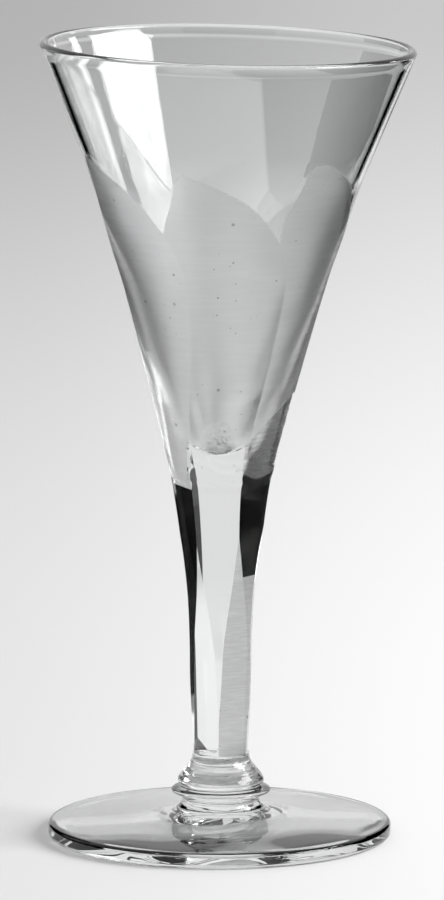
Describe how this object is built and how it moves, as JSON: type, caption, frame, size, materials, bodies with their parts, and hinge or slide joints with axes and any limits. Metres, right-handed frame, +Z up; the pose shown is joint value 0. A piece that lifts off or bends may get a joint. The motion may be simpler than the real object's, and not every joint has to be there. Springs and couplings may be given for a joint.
{
  "type": "cordial glass",
  "caption": "Small stemmed glass with a deep conical bowl cut in leaning petals, a panel-cut solid stem, a ringed collar and a round foot.",
  "frame": {"origin": "middle of the flat underside of the foot, where it rests on a table", "axes": "+Z up along the stem, -Y towards the viewer of the picture, +X to the viewer's right, which is the way the bowl leans"},
  "size_m": [0.0535, 0.0536, 0.1147],
  "materials": {
    "clear_glass": "clear colourless glass, fire-polished at the lip and polished on the cut faces"
  },
  "bodies": {
    "root": {"foot": "clear_glass", "collar": "clear_glass", "stem": "clear_glass", "bowl": "clear_glass"}
  },
  "joints": []
}
